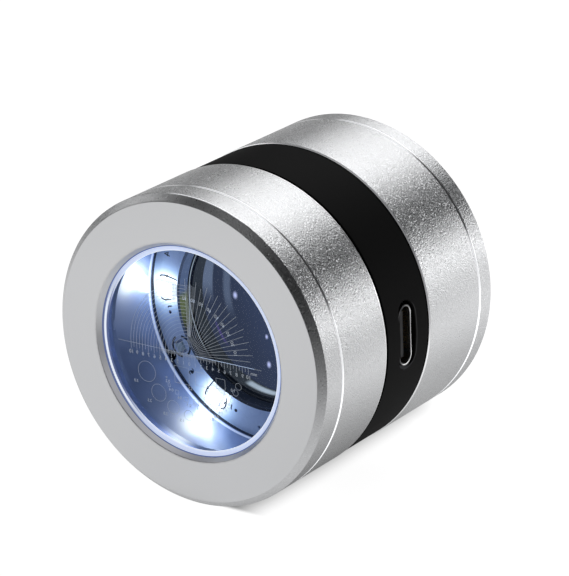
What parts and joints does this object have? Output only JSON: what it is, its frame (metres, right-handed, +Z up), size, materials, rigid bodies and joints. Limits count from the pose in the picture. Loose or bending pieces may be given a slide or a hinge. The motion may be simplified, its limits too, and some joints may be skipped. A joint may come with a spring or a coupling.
{
  "type": "jewelers loupe",
  "caption": "Round metal loupe lying on its side: lit measuring-scale window at the base end, black middle band with charging port, turning focus ring at the eye end.",
  "frame": {"origin": "on the surface that the loupe lies on, straight below the middle of its axis", "axes": "optical axis along Y: the base window points to -Y and the eye end to +Y; +X is the side of the charging port; +Z up"},
  "size_m": [0.045, 0.043, 0.045],
  "materials": {
    "anodised_aluminium": "satin",
    "black_aluminium": "satin",
    "black_plastic": "matte",
    "clear_glass": "polished",
    "lens_glass": "polished",
    "frosted_seal": "satin",
    "white_board": "satin",
    "green_board": "satin",
    "lamp": "gloss",
    "chip_black": "matte",
    "capacitor_tan": "satin",
    "spring_steel": "satin",
    "contact_gold": "polished",
    "switch_plastic": "satin",
    "rubber_black": "matte",
    "battery_foil": "satin",
    "foam_grey": "matte",
    "lead_red": "satin",
    "lead_black": "satin"
  },
  "bodies": {
    "housing": {"base_ring": "anodised_aluminium", "window_seal": "frosted_seal", "scale_glass": "clear_glass", "glass_retainer": "black_aluminium", "base_barrel": "anodised_aluminium", "centre_band": "black_plastic", "led_board": "white_board", "leds": "lamp", "led_resistors": "chip_black", "charger_chip": "chip_black", "driver_chip": "chip_black", "capacitors": "capacitor_tan", "usb_shell": "spring_steel", "usb_tongue": "chip_black", "usb_contacts": "contact_gold", "switch_body": "switch_plastic", "board_carrier": "black_plastic", "focus_guide": "black_aluminium", "rear_barrel": "anodised_aluminium", "battery_cell": "battery_foil", "battery_board": "green_board", "battery_pad": "foam_grey", "battery_lead_red": "lead_red", "battery_lead_black": "lead_black"},
    "lens_cell": {"lens_cell": "black_aluminium", "field_lens": "lens_glass", "eye_lens": "lens_glass", "lens_spacer": "black_aluminium", "lens_retainer": "black_aluminium", "focus_key": "spring_steel"},
    "focus_ring": {"focus_ring": "anodised_aluminium", "eye_plate": "anodised_aluminium", "focus_circlip": "spring_steel", "focus_o_ring": "rubber_black"},
    "power_button": {"power_button": "black_plastic", "switch_plunger": "switch_plastic"}
  },
  "joints": [
    {"name": "focus_turn", "type": "hinge", "parent": "housing", "child": "focus_ring", "pos_m": [0, 0, 0.0225], "axis": [0, 1, 0], "range_deg": [-180, 180]},
    {"name": "focus_travel", "type": "slide", "parent": "housing", "child": "lens_cell", "axis": [0, 1, 0], "range_m": [-0.001, 0.001]},
    {"name": "power_press", "type": "slide", "parent": "housing", "child": "power_button", "axis": [0.999, 0, 0.0436], "range_m": [0, 0.0004], "stiffness_N_per_m": 400, "springref_m": -0.001}
  ],
  "couplings": [
    {"joint": "focus_travel", "follows": "focus_turn", "m_per_rad": 0.000318}
  ]
}
